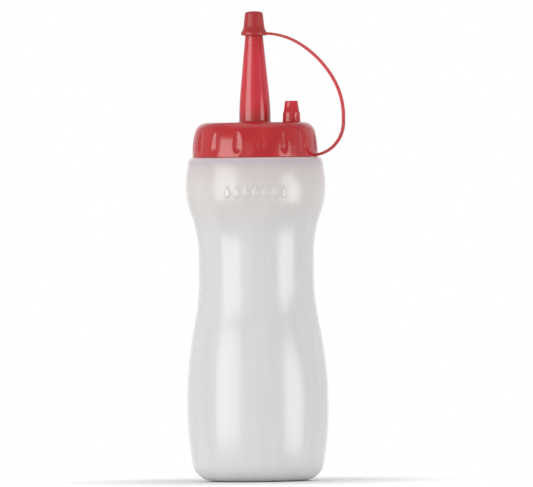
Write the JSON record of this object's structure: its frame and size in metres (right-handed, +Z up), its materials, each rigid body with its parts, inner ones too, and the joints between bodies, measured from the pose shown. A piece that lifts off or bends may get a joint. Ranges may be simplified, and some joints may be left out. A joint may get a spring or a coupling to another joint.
{
  "type": "condiment squeeze bottle",
  "caption": "Waisted translucent squeeze bottle for condiments, with a screw lid, a tall cone nozzle, and a tip cap on a strap with a peg to park it on.",
  "frame": {"origin": "on the bottle's axis, in the plane of the ring that it stands on", "axes": "+Z up along the bottle's axis; the strap and the parking peg lie in the upright plane 18 degrees from +X towards -Y; -Y is the front"},
  "size_m": [0.0715, 0.0626, 0.2086],
  "materials": {
    "bottle_ldpe": "translucent, soft satin",
    "lid_ldpe": "gloss, slightly translucent red",
    "liner_foam": "matt foamed sheet"
  },
  "bodies": {
    "bottle": {"bottle": "bottle_ldpe"},
    "liner": {"lid_liner": "liner_foam"},
    "lid": {"lid": "lid_ldpe", "tether_strap": "lid_ldpe"},
    "tip_cap": {"tip_cap": "lid_ldpe"}
  },
  "joints": [
    {"name": "lid_lift", "type": "slide", "parent": "bottle", "child": "liner", "axis": [0, 0, 1], "range_m": [0, 0.0128]},
    {"name": "lid_turn", "type": "hinge", "parent": "liner", "child": "lid", "pos_m": [0, 0, 0.15], "axis": [0, 0, 1], "range_deg": [0, 1080]},
    {"name": "tip_cap_pull", "type": "slide", "parent": "lid", "child": "tip_cap", "axis": [0, 0, 1], "range_m": [0, 0.02], "deforming": ["tether_strap"]}
  ],
  "couplings": [
    {"joint": "lid_lift", "follows": "lid_turn", "m_per_rad": 0.0006737}
  ]
}
